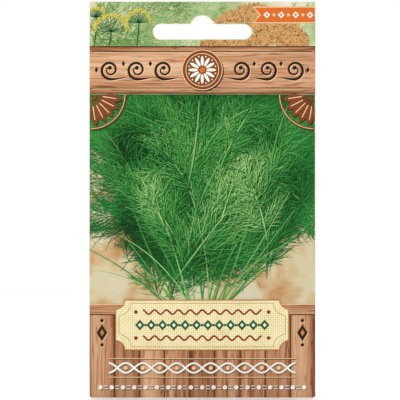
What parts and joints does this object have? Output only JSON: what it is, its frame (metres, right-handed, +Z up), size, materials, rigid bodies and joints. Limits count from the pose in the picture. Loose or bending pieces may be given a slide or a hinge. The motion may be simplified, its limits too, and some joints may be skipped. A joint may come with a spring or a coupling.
{
  "type": "printed paper seed packet",
  "caption": "Flat sealed paper seed packet with a hang slot: a printed sheet folded into a pocket, glued at header, side seam and bottom flap, with loose seeds inside.",
  "frame": {"origin": "top of the hang slot's round notch, midway between the two panels, where the peg that holds the packet bears", "axes": "+Z up along the packet's height, +X to the right across its width, +Y from the front panel to the back panel, so the printed front faces -Y"},
  "size_m": [0.08, 0.0058, 0.14],
  "materials": {
    "printed_paper": "satin",
    "adhesive": "satin",
    "seed_husk": "matte"
  },
  "bodies": {
    "root": {"packet_paper": "printed_paper", "glue_header": "adhesive", "glue_side_seam": "adhesive", "glue_bottom_flap": "adhesive", "seeds": "seed_husk"}
  },
  "joints": []
}
